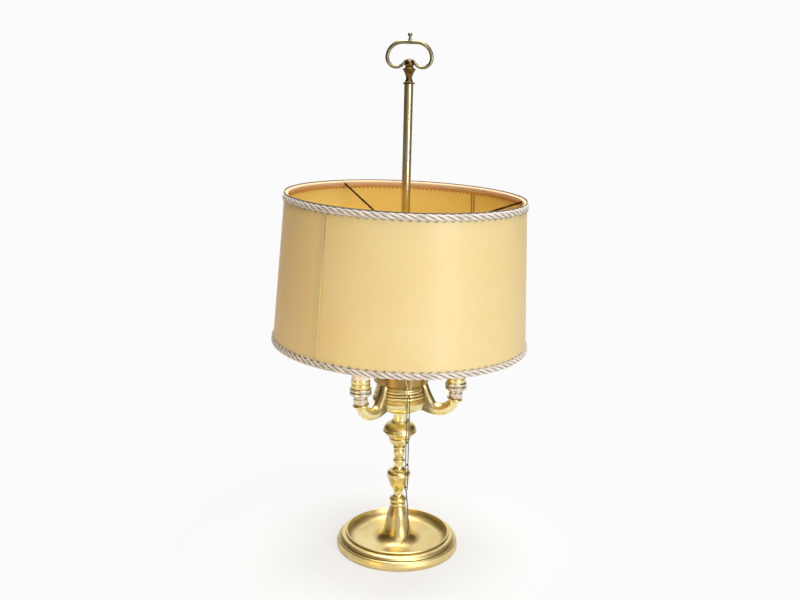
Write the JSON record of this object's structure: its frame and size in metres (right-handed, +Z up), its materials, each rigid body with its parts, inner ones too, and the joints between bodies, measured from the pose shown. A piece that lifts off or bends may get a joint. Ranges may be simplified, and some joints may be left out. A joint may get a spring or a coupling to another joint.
{
  "type": "florentine oil lamp",
  "caption": "Electrified brass florentine oil lamp with drip tray, turned stem, spouted font, ring handle, chained wick pricker and a parchment drum shade on a tall rod.",
  "frame": {"origin": "centre of the foot's underside, on the table", "axes": "+Z up along the rod, -Y towards the viewer of the picture, +X to that viewer's right"},
  "size_m": [0.3547, 0.3548, 0.7239],
  "materials": {
    "polished_brass": "polished",
    "aged_brass": "aged",
    "plain_steel": "plain",
    "nickel_steel": "nickel plated, worn",
    "chain_steel": "dulled",
    "frame_wire": "brown enamel",
    "parchment": "translucent, matt",
    "braid": "twisted cord",
    "tape": "woven tape",
    "porcelain": "glazed",
    "bulb_glass": "clear",
    "dark_plastic": "matt"
  },
  "bodies": {
    "lamp_stand": {"base": "polished_brass", "cord_bushing": "dark_plastic", "base_washer": "plain_steel", "base_nut": "plain_steel", "tie_tube": "plain_steel", "stem_collar": "polished_brass", "stem_urn": "polished_brass", "stem_knop": "polished_brass", "stem_capital": "polished_brass", "font_bowl": "polished_brass", "font_nut": "plain_steel", "font_cup": "polished_brass", "font_lid": "polished_brass", "terminal_block": "porcelain", "leads": "dark_plastic", "arm_left": "polished_brass", "arm_right": "polished_brass", "arm_rear": "polished_brass", "holder_cap_left": "nickel_steel", "holder_cap_right": "nickel_steel", "holder_cap_rear": "nickel_steel", "holder_rings_left": "nickel_steel", "holder_rings_right": "nickel_steel", "holder_rings_rear": "nickel_steel", "holder_body_left": "polished_brass", "holder_body_right": "polished_brass", "holder_body_rear": "polished_brass", "holder_insulator_left": "porcelain", "holder_insulator_right": "porcelain", "holder_insulator_rear": "porcelain", "screw_shells": "polished_brass", "centre_contacts": "polished_brass", "bulb_cap_left": "plain_steel", "bulb_cap_right": "plain_steel", "bulb_cap_rear": "plain_steel", "bulb_glass_left": "bulb_glass", "bulb_glass_right": "bulb_glass", "bulb_glass_rear": "bulb_glass", "rod": "aged_brass", "finial": "aged_brass", "handle_ring": "aged_brass", "chain_eye": "aged_brass"},
    "shade_clamp": {"shade_collar": "polished_brass"},
    "clamp_screw": {"thumbscrew": "polished_brass"},
    "shade": {"shade_hub": "frame_wire", "shade_spokes": "frame_wire", "shade_top_ring": "frame_wire", "shade_bottom_ring": "frame_wire", "shade_panel_front": "parchment", "shade_panel_rear": "parchment", "top_trim": "braid", "bottom_trim": "braid", "top_binding": "tape"},
    "bail": {"chain_bail": "aged_brass"},
    "link_1": {"chain_link_1": "chain_steel"},
    "link_2": {"chain_link_2": "chain_steel"},
    "link_3": {"chain_link_3": "chain_steel"},
    "link_4": {"chain_link_4": "chain_steel"},
    "wick_pricker": {"pricker": "chain_steel"}
  },
  "joints": [
    {"name": "shade_height", "type": "slide", "parent": "lamp_stand", "child": "shade_clamp", "axis": [0, 0, 1], "range_m": [-0.05, 0.13]},
    {"name": "shade_turn", "type": "hinge", "parent": "shade_clamp", "child": "shade", "pos_m": [0, 0, 0.4533], "axis": [0, 0, 1], "continuous": true},
    {"name": "clamp_screw_turn", "type": "hinge", "parent": "shade_clamp", "child": "clamp_screw", "pos_m": [0, 0, 0.442], "axis": [0.5, -0.866, 0], "range_deg": [0, 360]},
    {"name": "bail_swing", "type": "hinge", "parent": "lamp_stand", "child": "bail", "pos_m": [0.01074, -0.04473, 0.2653], "axis": [0.9724, 0.2334, 0], "range_deg": [-5, 3]},
    {"name": "link_1_swing", "type": "hinge", "parent": "bail", "child": "link_1", "pos_m": [0.01074, -0.04473, 0.2398], "axis": [-0.9724, -0.2334, 0], "range_deg": [-5, 5]},
    {"name": "link_2_swing", "type": "hinge", "parent": "link_1", "child": "link_2", "pos_m": [0.01074, -0.04473, 0.2066], "axis": [-0.6428, 0.766, 0], "range_deg": [-8, 8]},
    {"name": "link_3_swing", "type": "hinge", "parent": "link_2", "child": "link_3", "pos_m": [0.01074, -0.04473, 0.1734], "axis": [0.766, 0.6428, 0], "range_deg": [-8, 8]},
    {"name": "link_4_swing", "type": "hinge", "parent": "link_3", "child": "link_4", "pos_m": [0.01074, -0.04473, 0.1402], "axis": [0.6428, -0.766, 0], "range_deg": [-10, 10]},
    {"name": "pricker_swing", "type": "hinge", "parent": "link_4", "child": "wick_pricker", "pos_m": [0.01074, -0.04473, 0.107], "axis": [-0.766, -0.6428, 0], "range_deg": [-12, 12]}
  ]
}
